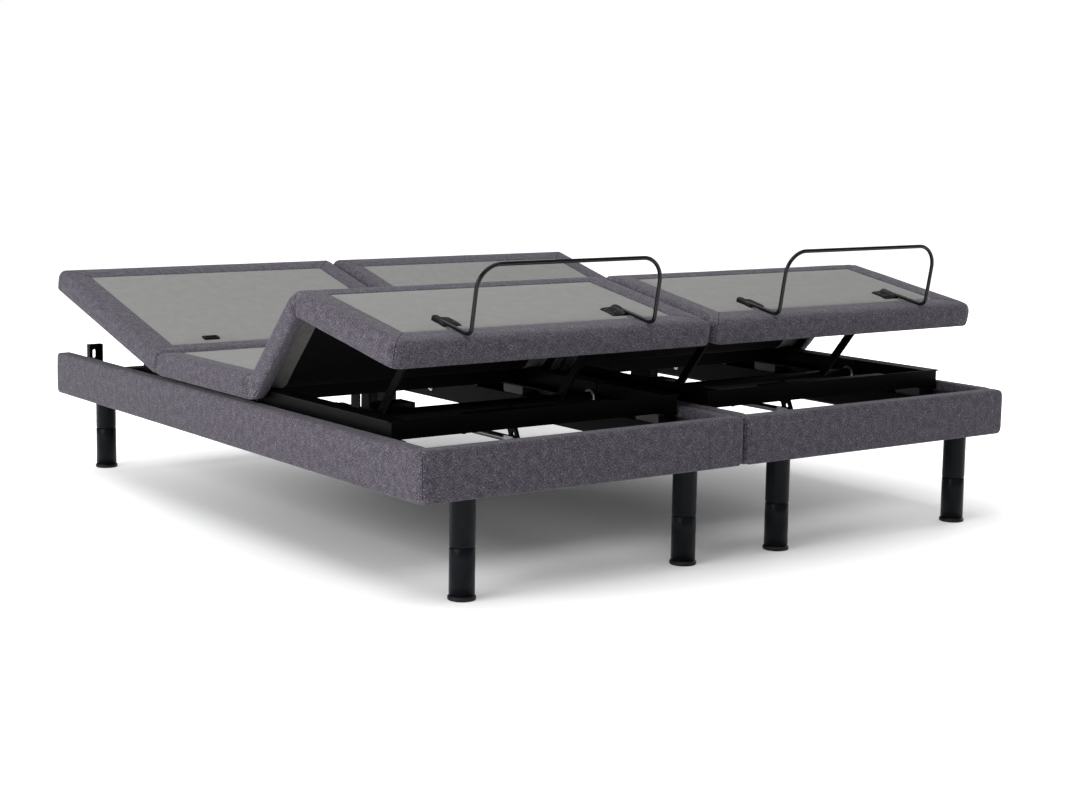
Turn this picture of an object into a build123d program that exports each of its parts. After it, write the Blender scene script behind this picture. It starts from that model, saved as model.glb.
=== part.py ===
"""Split adjustable bed base: two upholstered power bases that stand side by side.

Row frame, in millimetres: origin on the floor under the middle of the pair, +X to the
right as seen from the foot end, +Y towards the head, +Z up.  Each base has a fixed frame
on legs, a carriage that slides towards the head as the back section rises, four hinged
deck panels, two lift tubes with rollers and two linear actuators.
"""
import os
from math import asin, cos, degrees, radians, sin

from build123d import *

os.makedirs("parts", exist_ok=True)

# Overall sizes
unit_width = 955.0
unit_gap = 0.8
unit_length = 2032.0
running_gap = 0.3

# Upholstered rails
rail_bottom = 236.0
rail_height = 122.0
rail_wall = 22.0
rail_cap_width = 45.0
rail_cap_depth = 25.0
rail_corner_radius = 22.0
rail_edge_radius = 6.0

# Welded base frame
side_tube_width = 72.0
side_tube_height = 60.0
side_tube_drop = 42.0
end_tube_width = 50.0
end_tube_height = 66.0
tube_wall = 3.0

# Legs
leg_diameter = 60.0
leg_inset_outer = 142.5
leg_inset_inner = 155.0
leg_seam_height = 122.0
leg_groove = 2.0
glide_diameter = 66.0
glide_height = 9.0

# Headboard brackets
bracket_width = 44.0
bracket_plate = 4.0
bracket_rise = 19.0
bracket_inset = 124.5
bracket_setback = 2.0
slot_length = 26.0
slot_width = 10.0
slot_spacing = 60.0
slot_margin = 30.0

# Bolts through the side tubes
bolt_head_width = 15.0
bolt_head_height = 6.0
bolt_spacing = 250.0
bolt_rise = 29.0

# Carriage
track_margin = 29.0
carriage_foot_setback = 204.0
carriage_head_reach = 182.0
channel_flange = 40.0
channel_lip = 8.0
steel = 4.0
foot_member_rise = 8.0
foot_member_flange = 30.0
foot_member_notch = 24.0
cross_tube_size = 40.0
rear_member_reach = 48.0
front_member_reach = 258.0
head_member_width = 40.0
head_member_height = 20.0
glide_block_length = 90.0
glide_block_width = 34.0
glide_block_height = 24.0
glide_block_end_inset = 70.0
glide_block_clearance = 5.0

# Deck panels, all of one thickness
panel_thickness = 60.0
pad_thickness = 16.0
board_thickness = 18.0
deck_clearance = 10.0
channel_clearance = 1.0
panel_side_gap = 5.5
skirt_width = 35.0
fold_gap = 0.4
head_end_gap = 37.0
foot_end_gap = 31.0
head_length = 706.0
thigh_length = 289.0
foot_length = 443.0
slide_at_rest = 45.0
head_angle = 15.0
thigh_angle = 47.5
foot_angle = 10.2
pad_edge_radius = 12.0

# Mattress retainer bar, measured in the foot panel's plane
bar_diameter = 10.0
bar_span = 540.0
bar_rise = 175.0
bar_overhang = 4.0
bar_foot_start = 152.0
bar_foot_radius = 18.0
bar_top_radius = 60.0
bar_plate_length = 54.0
bar_plate_width = 52.0
bar_plate_edge = 2.0
bar_plate_thickness = 4.0

# Lift tubes
lift_tube_diameter = 30.0
lift_tube_rise = 12.0
head_lift_reach = 15.0
leg_lift_reach = 307.0
arm_inset = 151.5
arm_thickness = 8.0
arm_depth = 22.0
head_arm_length = 330.0
leg_arm_length = 273.0
head_roller_gap = 8.6
leg_roller_gap = 2.2
roller_diameter = 36.0
roller_width = 26.0
roller_side_gap = 0.5
axle_diameter = 12.0
axle_head = 4.0
bearing_plate = 5.0
bearing_drop = 24.0
lever_radius = 95.0
lever_width = 34.0
lever_thickness = 8.0
lever_slot = 14.0
lever_slot_start = 78.0
lever_slot_end = 97.0
head_lever_swing = 27.8
head_lever_rest = -13.9
leg_lever_swing = 25.0

# Actuators
actuator_offset = 110.0
motor_offset = 70.0
pin_diameter = 10.0
pin_gap = 0.05
pin_overhang = 3.0
rod_diameter = 18.0
rod_overlap = 20.0
sleeve_diameter = 36.0
eye_radius = 12.0
fork_ear = 6.0
fork_side_gap = 1.0
fork_root = 8.0
fork_width = 26.0
fork_length = 28.0
gearbox_length = 76.0
gearbox_size = 58.0
gearbox_gap = 6.0
motor_diameter = 54.0
motor_length = 120.0
hanger_plate = 5.0
head_sleeve_gap = 110.0
leg_sleeve_gap = 190.0

# Control box
box_width = 120.0
box_length = 150.0
box_depth = 44.0
box_corner_radius = 8.0
box_edge_radius = 3.0

# Worked-out values
pitch = unit_width + unit_gap
half_length = unit_length / 2
half_width = unit_width / 2
rail_top = rail_bottom + rail_height
tube_outer = half_width - rail_wall
tube_inner = tube_outer - side_tube_width
side_tube_top = rail_top - side_tube_drop
side_tube_bottom = side_tube_top - side_tube_height
end_tube_y = half_length - rail_wall - end_tube_width / 2
end_tube_top = rail_bottom + end_tube_height
bracket_top = rail_top + bracket_rise

deck_top = rail_top + deck_clearance + panel_thickness
board_bottom = -pad_thickness - board_thickness
seat_underside = deck_top + board_bottom
panel_half_width = half_width - panel_side_gap
board_half_width = panel_half_width - skirt_width
head_hinge_y = half_length - head_end_gap - head_length + slide_at_rest
thigh_hinge_y = -half_length + foot_end_gap + foot_length + thigh_length + slide_at_rest

carriage_half_width = tube_outer - track_margin
carriage_foot = -half_length + carriage_foot_setback
carriage_head = head_hinge_y + carriage_head_reach
channel_inner = carriage_half_width - channel_flange
channel_bottom = side_tube_top + glide_block_height
channel_top = seat_underside - channel_clearance
rear_member_y = thigh_hinge_y + rear_member_reach
front_member_y = head_hinge_y - front_member_reach
lift_tube_height = channel_bottom + lift_tube_rise
head_lift_y = head_hinge_y + head_lift_reach
leg_lift_y = thigh_hinge_y - leg_lift_reach
arm_offset = carriage_half_width - arm_inset
pin_radius = pin_diameter / 2
head_pin_height = lift_tube_height - lever_radius * cos(radians(head_lever_swing))
leg_pin_height = lift_tube_height - lever_radius * cos(radians(leg_lever_swing))


def tilted(cx, y, z, angle):
    """Plane of a deck panel whose head end is turned up by angle."""
    turn = radians(angle)
    return Plane(origin=(cx, y, z), x_dir=(1, 0, 0), z_dir=(0, -sin(turn), cos(turn)))


def fold_point(y, z, angle, along, up):
    """Row-frame Y and Z of a point given in a tilted panel's own directions."""
    turn = radians(angle)
    return (y + along * cos(turn) - up * sin(turn), z + along * sin(turn) + up * cos(turn))


foot_hinge = fold_point(thigh_hinge_y, deck_top, -thigh_angle, -thigh_length, -panel_thickness)
foot_top = fold_point(*foot_hinge, foot_angle, 0, panel_thickness)


def arm_rise(lift_y, plane_y, plane_z, angle, roller_gap, arm_length):
    """Angle between an arm and a tilted panel that leaves roller_gap over the roller."""
    turn = radians(angle)
    above_tube = (plane_z - lift_tube_height) * cos(turn) - (plane_y - lift_y) * sin(turn)
    wanted = above_tube + board_bottom - roller_diameter / 2 - roller_gap
    return degrees(asin(wanted / arm_length))


head_arm_angle = head_angle + arm_rise(head_lift_y, head_hinge_y, deck_top, head_angle,
                                       head_roller_gap, head_arm_length)
leg_arm_angle = arm_rise(leg_lift_y, *foot_top, foot_angle, leg_roller_gap, leg_arm_length) - foot_angle


def block(x0, x1, y0, y1, z0, z1, mode=Mode.ADD):
    """Box between two corners, in the workplane of the part being built."""
    with Locations(((x0 + x1) / 2, (y0 + y1) / 2, (z0 + z1) / 2)):
        Box(abs(x1 - x0), abs(y1 - y0), abs(z1 - z0), mode=mode)


def rod_x(x0, x1, y, z, radius, mode=Mode.ADD):
    """Round bar or bore along X."""
    with Locations(((x0 + x1) / 2, y, z)):
        Cylinder(radius, abs(x1 - x0), rotation=(0, 90, 0), mode=mode)


def rod_y(x, y0, y1, z, radius, mode=Mode.ADD):
    """Round bar or bore along Y."""
    with Locations((x, (y0 + y1) / 2, z)):
        Cylinder(radius, abs(y1 - y0), rotation=(90, 0, 0), mode=mode)


def save(part, name):
    """Label a finished piece and write its STEP file."""
    part.label = name
    export_step(part, f"parts/{name}.step")


# ---------------------------------------------------------------- legs, both bases

def leg_places():
    """X and Y of the eight leg centres."""
    for side in (-1, 1):
        outer = side * (unit_width + unit_gap / 2 - leg_inset_outer)
        inner = side * (unit_gap / 2 + leg_inset_inner)
        for x in (outer, inner):
            for y in (-end_tube_y, end_tube_y):
                yield (x, y)


def make_legs():
    """Turned legs in two stacked halves, each on a wider glide."""
    places = list(leg_places())
    radius = leg_diameter / 2
    with BuildPart() as upper:
        with BuildSketch(Plane.XY.offset(leg_seam_height)):
            with Locations(*places):
                Circle(radius)
        extrude(amount=rail_bottom - leg_seam_height)
        chamfer(upper.edges().group_by(Axis.Z)[0], length=leg_groove)
    save(upper.part, "legs_upper")

    with BuildPart() as lower:
        with BuildSketch(Plane.XY.offset(glide_height)):
            with Locations(*places):
                Circle(radius)
        extrude(amount=leg_seam_height - glide_height)
        chamfer(lower.edges().group_by(Axis.Z)[-1], length=leg_groove)
    save(lower.part, "legs_lower")

    with BuildPart() as glides:
        with BuildSketch():
            with Locations(*places):
                Circle(glide_diameter / 2)
        extrude(amount=glide_height)
        chamfer(glides.edges().group_by(Axis.Z)[-1], length=leg_groove)
    save(glides.part, "leg_glides")


def make_headboard_brackets():
    """Four folded steel channels on the head-end tubes, slotted for a headboard."""
    back = half_length - bracket_setback
    front = end_tube_y + end_tube_width / 2
    with BuildPart() as brackets:
        for side in (-1, 1):
            for face in (-1, 1):
                x = side * pitch / 2 + face * (half_width - bracket_inset)
                half = bracket_width / 2
                block(x - half, x + half, front, back, rail_bottom, bracket_top)
                block(x - half + bracket_plate, x + half - bracket_plate, front, back - bracket_plate,
                      end_tube_top, bracket_top, Mode.SUBTRACT)
                block(x - half + bracket_plate, x + half - bracket_plate, front + bracket_plate,
                      back - bracket_plate, rail_bottom, end_tube_top, Mode.SUBTRACT)
                upper_slot = bracket_top - slot_margin
                with BuildSketch(Plane.XZ.offset(-back)):
                    with Locations((x, upper_slot), (x, upper_slot - slot_spacing)):
                        SlotOverall(slot_length, slot_width, rotation=90)
                extrude(amount=bracket_plate * 2, mode=Mode.SUBTRACT)
    save(brackets.part, "headboard_brackets")


def make_rail_bolts():
    """Hexagon bolt heads on the inner faces of the side tubes."""
    across = bolt_head_width / 2
    with BuildPart() as bolts:
        for side in (-1, 1):
            for face in (-1, 1):
                x = side * pitch / 2 + face * tube_inner
                with BuildSketch(Plane(origin=(x, 0, 0), x_dir=(0, -face, 0), z_dir=(-face, 0, 0))):
                    with Locations(*[(step * bolt_spacing, side_tube_bottom + bolt_rise)
                                     for step in (-3, -1, 1, 3)]):
                        RegularPolygon(across, 6, major_radius=False)
                extrude(amount=bolt_head_height)
    save(bolts.part, "rail_bolts")


# ---------------------------------------------------------------- fixed frame of one base

def make_base_frame(name, cx):
    """Side tubes and end tubes welded into a rectangle."""
    end_inner = end_tube_y - end_tube_width / 2
    end_outer = end_tube_y + end_tube_width / 2
    with BuildPart() as frame:
        for face in (-1, 1):
            block(cx + face * tube_inner, cx + face * tube_outer, -end_inner, end_inner,
                  side_tube_bottom, side_tube_top)
            block(cx + face * (tube_inner + tube_wall), cx + face * (tube_outer - tube_wall),
                  -end_inner, end_inner, side_tube_bottom + tube_wall, side_tube_top - tube_wall,
                  Mode.SUBTRACT)
        for end in (-1, 1):
            block(cx - tube_outer, cx + tube_outer, end * end_inner, end * end_outer,
                  rail_bottom, end_tube_top)
            block(cx - tube_outer + tube_wall, cx + tube_outer - tube_wall,
                  end * (end_inner + tube_wall), end * (end_outer - tube_wall),
                  rail_bottom + tube_wall, end_tube_top - tube_wall, Mode.SUBTRACT)
            for face in (-1, 1):
                block(cx + face * tube_inner, cx + face * tube_outer, end * end_inner, end * end_outer,
                      end_tube_top, side_tube_top)
    save(frame.part, f"{name}_base_frame")


def make_side_rail(name, cx, face):
    """Upholstered side rail: a wall with a wider cap over the side tube."""
    outer = cx + face * half_width
    foot_end = -half_length + rail_cap_width
    with BuildPart() as rail:
        block(outer, cx + face * (half_width - rail_wall), foot_end, half_length, rail_bottom, rail_top)
        block(outer, cx + face * (half_width - rail_cap_width), foot_end, half_length,
              rail_top - rail_cap_depth, rail_top)
        fillet(rail.edges().filter_by(Axis.Y).group_by(Axis.Z)[-1], rail_edge_radius)
    save(rail.part, name)


def make_foot_rail(name, cx):
    """Upholstered foot rail with rounded ends, over the whole width of one base."""
    inner = -half_length + rail_cap_width
    with BuildPart() as rail:
        block(cx - half_width, cx + half_width, -half_length, inner, rail_bottom, rail_top)
        block(cx - tube_outer, cx + tube_outer, -half_length + rail_wall, inner, rail_bottom,
              rail_top - rail_cap_depth, Mode.SUBTRACT)
        fillet(rail.edges().filter_by(Axis.Z).group_by(Axis.Y)[0], rail_corner_radius)
        fillet(rail.edges().group_by(Axis.Z)[-1], rail_edge_radius)
    save(rail.part, f"{name}_foot_rail")


# ---------------------------------------------------------------- carriage of one base

def make_carriage(name, cx):
    """Two side channels, a foot angle, two cross tubes, a head member and bearing plates."""
    half_tube = cross_tube_size / 2
    tube_top = channel_top - steel
    bore = lift_tube_diameter / 2 + running_gap / 2
    flange_half = arm_offset - roller_width - foot_member_notch
    with BuildPart() as frame:
        for face in (-1, 1):
            web = cx + face * carriage_half_width
            block(web, web - face * steel, carriage_foot, carriage_head, channel_bottom, channel_top)
            block(web + face * channel_lip, cx + face * channel_inner, carriage_foot, carriage_head,
                  tube_top, channel_top)
            block(web, cx + face * channel_inner, carriage_foot, carriage_head,
                  channel_bottom, channel_bottom + steel)
            for y in (head_lift_y, leg_lift_y):
                plate = cx + face * channel_inner
                block(plate, plate - face * bearing_plate, y - bearing_drop, y + bearing_drop,
                      lift_tube_height - bearing_drop, channel_top)
                rod_x(plate + face, plate - face * 2 * bearing_plate, y, lift_tube_height, bore,
                      Mode.SUBTRACT)
        block(cx - carriage_half_width, cx + carriage_half_width, carriage_foot, carriage_foot + steel,
              channel_bottom + foot_member_rise, channel_top)
        block(cx - flange_half, cx + flange_half, carriage_foot, carriage_foot + foot_member_flange,
              tube_top, channel_top)
        for y in (rear_member_y, front_member_y):
            block(cx - carriage_half_width, cx + carriage_half_width, y - half_tube, y + half_tube,
                  seat_underside - cross_tube_size, seat_underside)
        block(cx - carriage_half_width, cx + carriage_half_width, carriage_head - head_member_width,
              carriage_head, channel_bottom - head_member_height, channel_bottom)
        for x, y, pin_z in ((cx - actuator_offset, rear_member_y, head_pin_height),
                            (cx + actuator_offset, front_member_y, leg_pin_height)):
            for ear in (-1, 1):
                inside = x + ear * (fork_width / 2 + running_gap)
                block(inside, inside + ear * hanger_plate, y - half_tube, y + half_tube,
                      pin_z - half_tube, seat_underside - cross_tube_size)
                rod_x(inside - ear, inside + ear * 2 * hanger_plate, y, pin_z, pin_radius,
                      Mode.SUBTRACT)
    save(frame.part, f"{name}_carriage_frame")


def make_carriage_glides(name, cx):
    """Nylon glide blocks between the channels and the side tubes."""
    inside = tube_inner + steel
    with BuildPart() as glides:
        for face in (-1, 1):
            last = carriage_head - head_member_width - glide_block_clearance - glide_block_length / 2
            for y in (carriage_foot + glide_block_end_inset, rear_member_y, front_member_y, last):
                x = cx + face * (inside + glide_block_width / 2)
                with Locations((x, y, (channel_bottom + side_tube_top + running_gap) / 2)):
                    Box(glide_block_width, glide_block_length,
                        channel_bottom - side_tube_top - running_gap)
        chamfer(glides.edges().filter_by(Axis.X).group_by(Axis.Z)[0], length=4.0)
    save(glides.part, f"{name}_carriage_glides")


# ---------------------------------------------------------------- deck panels of one base

def make_panel(name, plane, y0, y1, skirt_at_low=False, skirt_at_high=False):
    """Plywood board under a padded cover whose skirts hang down outside the channels."""
    low_skirt = skirt_width if skirt_at_low else 0.0
    high_skirt = skirt_width if skirt_at_high else 0.0
    with BuildPart(plane) as board:
        block(-board_half_width, board_half_width, y0 + low_skirt, y1 - high_skirt,
              board_bottom, -pad_thickness)
    save(board.part, f"{name}_board")

    with BuildPart(plane) as cover:
        block(-panel_half_width, panel_half_width, y0, y1, -panel_thickness, 0)
        block(-board_half_width, board_half_width, y0 + low_skirt, y1 - high_skirt,
              -panel_thickness, -pad_thickness, Mode.SUBTRACT)
        fillet([edge for edge in cover.edges() if is_rim(edge, plane)], pad_edge_radius)
    save(cover.part, f"{name}_cover")


def is_rim(edge, plane):
    """Long top edges of a cover, at its two sides."""
    middle = plane.to_local_coords(edge @ 0.5)
    at_side = abs(abs(middle.X) - panel_half_width) < 0.01
    return at_side and abs(middle.Z) < 0.01


def make_deck(name, cx):
    """Back, seat, thigh and foot panels at their rest angles."""
    seat_plane = tilted(cx, 0, deck_top, 0)
    make_panel(f"{name}_seat", seat_plane, thigh_hinge_y + fold_gap, head_hinge_y - fold_gap)
    head_plane = tilted(cx, head_hinge_y, deck_top, head_angle)
    make_panel(f"{name}_head", head_plane, fold_gap, head_length, skirt_at_high=True)
    thigh_plane = tilted(cx, thigh_hinge_y, deck_top, -thigh_angle)
    make_panel(f"{name}_thigh", thigh_plane, -thigh_length + fold_gap, -fold_gap)
    foot_plane = tilted(cx, *foot_top, foot_angle)
    make_panel(f"{name}_foot", foot_plane, -foot_length, -fold_gap, skirt_at_low=True)
    return foot_plane


def make_retainer(name, foot_plane):
    """Bent round bar that keeps the mattress on the deck, and its two plates."""
    radius = bar_diameter / 2
    lift = bar_plate_thickness + radius
    half_span = bar_span / 2
    end = -foot_length - bar_overhang
    start = -foot_length + bar_foot_start
    with BuildPart(foot_plane) as bar:
        with BuildLine(foot_plane):
            path = FilletPolyline(
                (half_span, start, lift),
                (half_span, end, lift),
                (half_span, end, bar_rise),
                (-half_span, end, bar_rise),
                (-half_span, end, lift),
                (-half_span, start, lift),
                radius=[bar_foot_radius, bar_top_radius, bar_top_radius, bar_foot_radius],
            )
        with BuildSketch(Plane(origin=path @ 0, z_dir=path % 0)):
            Circle(radius)
        sweep(path=path)
    save(bar.part, f"{name}_retainer_bar")

    with BuildPart(foot_plane) as plates:
        for face in (-1, 1):
            outer = face * (half_span + radius + bar_plate_edge)
            block(outer, outer - face * bar_plate_width, start - bar_plate_length, start, 0,
                  bar_plate_thickness)
    save(plates.part, f"{name}_retainer_plates")


# ---------------------------------------------------------------- lift tubes and rollers

def make_lift(name, cx, lift_y, arm_length, arm_turn, lever_turn, lever_x):
    """Cross tube with two roller arms and a slotted lever; angles are turned about X from +Y."""
    radius = lift_tube_diameter / 2
    swing = radians(arm_turn)
    tip = (lift_y + arm_length * cos(swing), lift_tube_height + arm_length * sin(swing))
    arm_plane_z = (0, -sin(swing), cos(swing))
    with BuildPart() as tube:
        rod_x(cx - channel_inner + running_gap, cx + channel_inner - running_gap, lift_y,
              lift_tube_height, radius)
        for face in (-1, 1):
            x = cx + face * arm_offset
            with BuildPart(Plane(origin=(x, lift_y, lift_tube_height), x_dir=(1, 0, 0),
                                 z_dir=arm_plane_z), mode=Mode.PRIVATE) as arm:
                block(-arm_thickness / 2, arm_thickness / 2, 0, arm_length, -arm_depth / 2, arm_depth / 2)
                rod_x(-arm_thickness / 2, arm_thickness / 2, arm_length, 0, arm_depth / 2)
                rod_x(-arm_thickness, arm_thickness, arm_length, 0, axle_diameter / 2, Mode.SUBTRACT)
            add(arm.part)
        lever_dir = radians(lever_turn)
        with BuildPart(Plane(origin=(lever_x, lift_y, lift_tube_height), x_dir=(1, 0, 0),
                             z_dir=(0, -sin(lever_dir), cos(lever_dir))), mode=Mode.PRIVATE) as lever:
            half = lever_thickness / 2
            block(-half, half, -lever_width / 2, lever_width / 2, -lever_radius - lever_width / 2, 0)
            block(-half, half, -lever_slot / 2, lever_slot / 2, -lever_slot_end, -lever_slot_start,
                  Mode.SUBTRACT)
            for depth in (lever_slot_end, lever_slot_start):
                rod_x(-half, half, 0, -depth, lever_slot / 2, Mode.SUBTRACT)
        add(lever.part)
    save(tube.part, f"{name}_lift_tube")

    inner = arm_offset - arm_thickness / 2
    outer = arm_offset + arm_thickness / 2
    with BuildPart() as rollers:
        for face in (-1, 1):
            rim = cx + face * (inner - roller_side_gap)
            rod_x(rim, rim - face * roller_width, *tip, roller_diameter / 2)
            rod_x(rim, cx + face * outer, *tip, axle_diameter / 2 - pin_gap)
            rod_x(cx + face * outer, cx + face * (outer + axle_head), *tip, axle_diameter / 2 + axle_head)
    save(rollers.part, f"{name}_lift_rollers")


# ---------------------------------------------------------------- actuators

def make_actuator(name, x, z, rear_y, front_y, tip_y, stroke, motor_x):
    """Motor, gearbox and sleeve on a rear pin, with a sliding rod that ends in a fork."""
    way = 1 if tip_y > rear_y else -1
    gear_start = rear_y + way * (cross_tube_size / 2 + gearbox_gap)
    gear_end = gear_start + way * gearbox_length
    sleeve_bore = rod_diameter / 2 + running_gap
    half_box = gearbox_size / 2
    half_pin = fork_width / 2 + running_gap + hanger_plate + pin_overhang
    with BuildPart() as body:
        block(x - half_box, x + half_box, gear_start, gear_end, z - half_box, z + half_box)
        block(min(x, motor_x), max(x, motor_x), gear_start, gear_end, z - half_box, z + half_box)
        rod_y(x, gear_end, front_y, z, sleeve_diameter / 2)
        rod_y(motor_x, gear_start, gear_start + way * (gearbox_length + motor_length), z,
              motor_diameter / 2)
        block(x - fork_width / 2, x + fork_width / 2, rear_y, gear_start, z - eye_radius, z + eye_radius)
        rod_x(x - fork_width / 2, x + fork_width / 2, rear_y, z, eye_radius)
        rod_x(x - half_pin, x + half_pin, rear_y, z, pin_radius - pin_gap)
        rod_y(x, gear_end, front_y + way, z, sleeve_bore, Mode.SUBTRACT)
    save(body.part, f"{name}_actuator")

    rod_start = front_y - way * (stroke + rod_overlap)
    fork_start = tip_y - way * fork_length
    ear_inside = lever_thickness / 2 + fork_side_gap
    half_pin = ear_inside + fork_ear + pin_overhang
    with BuildPart() as rod:
        rod_y(x, rod_start, fork_start, z, rod_diameter / 2)
        block(x - ear_inside - fork_ear, x + ear_inside + fork_ear, fork_start - way * fork_root, fork_start,
              z - rod_diameter / 2, z + rod_diameter / 2)
        for ear in (-1, 1):
            inside = x + ear * ear_inside
            block(inside, inside + ear * fork_ear, fork_start, tip_y, z - rod_diameter / 2,
                  z + rod_diameter / 2)
            rod_x(inside, inside + ear * fork_ear, tip_y, z, rod_diameter / 2)
        rod_x(x - half_pin, x + half_pin, tip_y, z, pin_radius)
    save(rod.part, f"{name}_actuator_rod")


def make_control_box(name, cx):
    """Receiver and power box screwed to the underside of the seat board."""
    y = (rear_member_y + front_member_y) / 2
    top = seat_underside
    with BuildPart() as case:
        block(cx - box_width / 2, cx + box_width / 2, y - box_length / 2, y + box_length / 2,
              top - box_depth, top)
        fillet(case.edges().filter_by(Axis.Z), box_corner_radius)
        fillet(case.edges().group_by(Axis.Z)[0], box_edge_radius)
    save(case.part, f"{name}_control_box")


# ---------------------------------------------------------------- assembly

make_legs()
make_headboard_brackets()
make_rail_bolts()

for unit, side in (("left", -1), ("right", 1)):
    centre = side * pitch / 2
    make_base_frame(unit, centre)
    make_side_rail(f"{unit}_outer_rail", centre, side)
    make_side_rail(f"{unit}_inner_rail", centre, -side)
    make_foot_rail(unit, centre)
    make_carriage(unit, centre)
    make_carriage_glides(unit, centre)
    panel_plane = make_deck(unit, centre)
    make_retainer(unit, panel_plane)

    head_actuator_x = centre - actuator_offset
    leg_actuator_x = centre + actuator_offset
    make_lift(f"{unit}_head", centre, head_lift_y, head_arm_length, head_arm_angle,
              head_lever_rest, head_actuator_x)
    make_lift(f"{unit}_leg", centre, leg_lift_y, leg_arm_length, 180 - leg_arm_angle,
              -leg_lever_swing, leg_actuator_x)

    head_reach = lever_radius * sin(radians(head_lever_swing))
    head_share = head_lever_rest / head_lever_swing
    make_actuator(f"{unit}_head", head_actuator_x, head_pin_height, rear_member_y,
                  head_lift_y - head_sleeve_gap,
                  head_lift_y + head_reach * head_share, 2 * head_reach,
                  head_actuator_x + motor_offset)
    leg_reach = lever_radius * sin(radians(leg_lever_swing))
    make_actuator(f"{unit}_leg", leg_actuator_x, leg_pin_height, front_member_y,
                  leg_lift_y + leg_sleeve_gap,
                  leg_lift_y - leg_reach, 2 * leg_reach, leg_actuator_x - motor_offset)
    make_control_box(unit, centre)
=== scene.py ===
"""Split adjustable bed base: two upholstered power bases side by side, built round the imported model."""
from math import cos, exp, hypot, pi, radians, sin, sqrt, tan

import bmesh
import bpy
from mathutils import Matrix, Vector, noise


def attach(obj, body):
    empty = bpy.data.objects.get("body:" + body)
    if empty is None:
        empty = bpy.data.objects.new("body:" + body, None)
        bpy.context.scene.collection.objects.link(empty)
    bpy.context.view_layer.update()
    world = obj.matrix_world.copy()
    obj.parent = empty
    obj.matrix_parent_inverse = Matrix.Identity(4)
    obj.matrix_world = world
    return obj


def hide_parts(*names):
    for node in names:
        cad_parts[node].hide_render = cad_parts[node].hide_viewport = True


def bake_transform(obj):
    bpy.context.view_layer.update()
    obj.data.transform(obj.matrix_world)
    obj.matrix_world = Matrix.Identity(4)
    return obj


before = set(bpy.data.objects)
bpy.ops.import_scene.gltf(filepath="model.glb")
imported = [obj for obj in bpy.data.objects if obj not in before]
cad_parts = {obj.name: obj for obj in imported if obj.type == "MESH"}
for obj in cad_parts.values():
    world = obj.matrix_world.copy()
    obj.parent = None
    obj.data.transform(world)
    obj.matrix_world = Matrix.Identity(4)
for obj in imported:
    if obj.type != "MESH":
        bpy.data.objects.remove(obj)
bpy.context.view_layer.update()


# ---------------------------------------------------------------- studio
# A white studio sweep seen from the foot end, with one broad overhead softbox, a large softbox on the left,
# a weaker one on the right and a little fill from the white room; the floor also glows, as painted light
# lifting its shadow.

def aim(yaw, pitch, roll):
    """Rotation of a camera that looks yaw degrees right of +Y and pitch degrees up."""
    yaw, pitch, roll = radians(yaw), radians(pitch), radians(roll)
    ahead = Vector((sin(yaw) * cos(pitch), cos(yaw) * cos(pitch), sin(pitch)))
    level = Vector((cos(yaw), -sin(yaw), 0))
    upright = level.cross(ahead)
    right = level * cos(roll) + upright * sin(roll)
    up = upright * cos(roll) - level * sin(roll)
    return Matrix((right, up, -ahead)).transposed()


camera_data = bpy.data.cameras.new("camera")
camera_data.sensor_width = 36
camera_data.lens = 64.92
camera_data.shift_x = 0.0515
camera_data.shift_y = -0.0313
camera = bpy.data.objects.new("camera", camera_data)
camera.matrix_world = Matrix.Translation((-3.220, -4.470, 1.085)) @ aim(34.94, -7.43, 0.69).to_4x4()
bpy.context.collection.objects.link(camera)
bpy.context.scene.camera = camera
bpy.context.scene.view_settings.view_transform = "Standard"


def new_material(name):
    """Empty node material: its nodes, a linking call and its shader."""
    material = bpy.data.materials.new(name)
    material.use_nodes = True
    tree = material.node_tree
    return material, tree.nodes, tree.links.new, tree.nodes["Principled BSDF"]


floor_paint, nodes, link, shader = new_material("studio_floor")
shader.inputs["Roughness"].default_value = 0.85
shader.inputs["Specular IOR Level"].default_value = 0.15
cloudy = nodes.new("ShaderNodeTexNoise")
cloudy.inputs["Scale"].default_value = 0.6
floor_tone = nodes.new("ShaderNodeValToRGB")
floor_tone.color_ramp.elements[0].color = (0.86, 0.865, 0.87, 1)
floor_tone.color_ramp.elements[1].color = (0.90, 0.90, 0.90, 1)
link(cloudy.outputs["Fac"], floor_tone.inputs["Fac"])
link(floor_tone.outputs["Color"], shader.inputs["Base Color"])
# Painted light: the floor glows white more and more with distance from the core of the bed's shadow at (-0.1,
# -0.35), from nothing at 0.2 m to full at 2.7 m. This lightens the shadow round the bed.
place = nodes.new("ShaderNodeTexCoord")
shadow_core_distance = nodes.new("ShaderNodeVectorMath")
shadow_core_distance.operation = "DISTANCE"
shadow_core_distance.inputs[1].default_value = (-0.1, -0.35, 0)
painted_floor_glow = nodes.new("ShaderNodeMapRange")
painted_floor_glow.interpolation_type = "SMOOTHSTEP"
painted_floor_glow.inputs["From Min"].default_value = 0.2
painted_floor_glow.inputs["From Max"].default_value = 2.7
shader.inputs["Emission Color"].default_value = (1, 1, 1, 1)
link(place.outputs["Object"], shadow_core_distance.inputs[0])
link(shadow_core_distance.outputs["Value"], painted_floor_glow.inputs["Value"])
link(painted_floor_glow.outputs["Result"], shader.inputs["Emission Strength"])

floor_mesh = bpy.data.meshes.new("studio_floor")
floor_shape = bmesh.new()
bmesh.ops.create_grid(floor_shape, x_segments=12, y_segments=12, size=60)
floor_shape.to_mesh(floor_mesh)
floor_mesh.materials.append(floor_paint)
floor = bpy.data.objects.new("studio_floor", floor_mesh)
bpy.context.collection.objects.link(floor)

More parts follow.
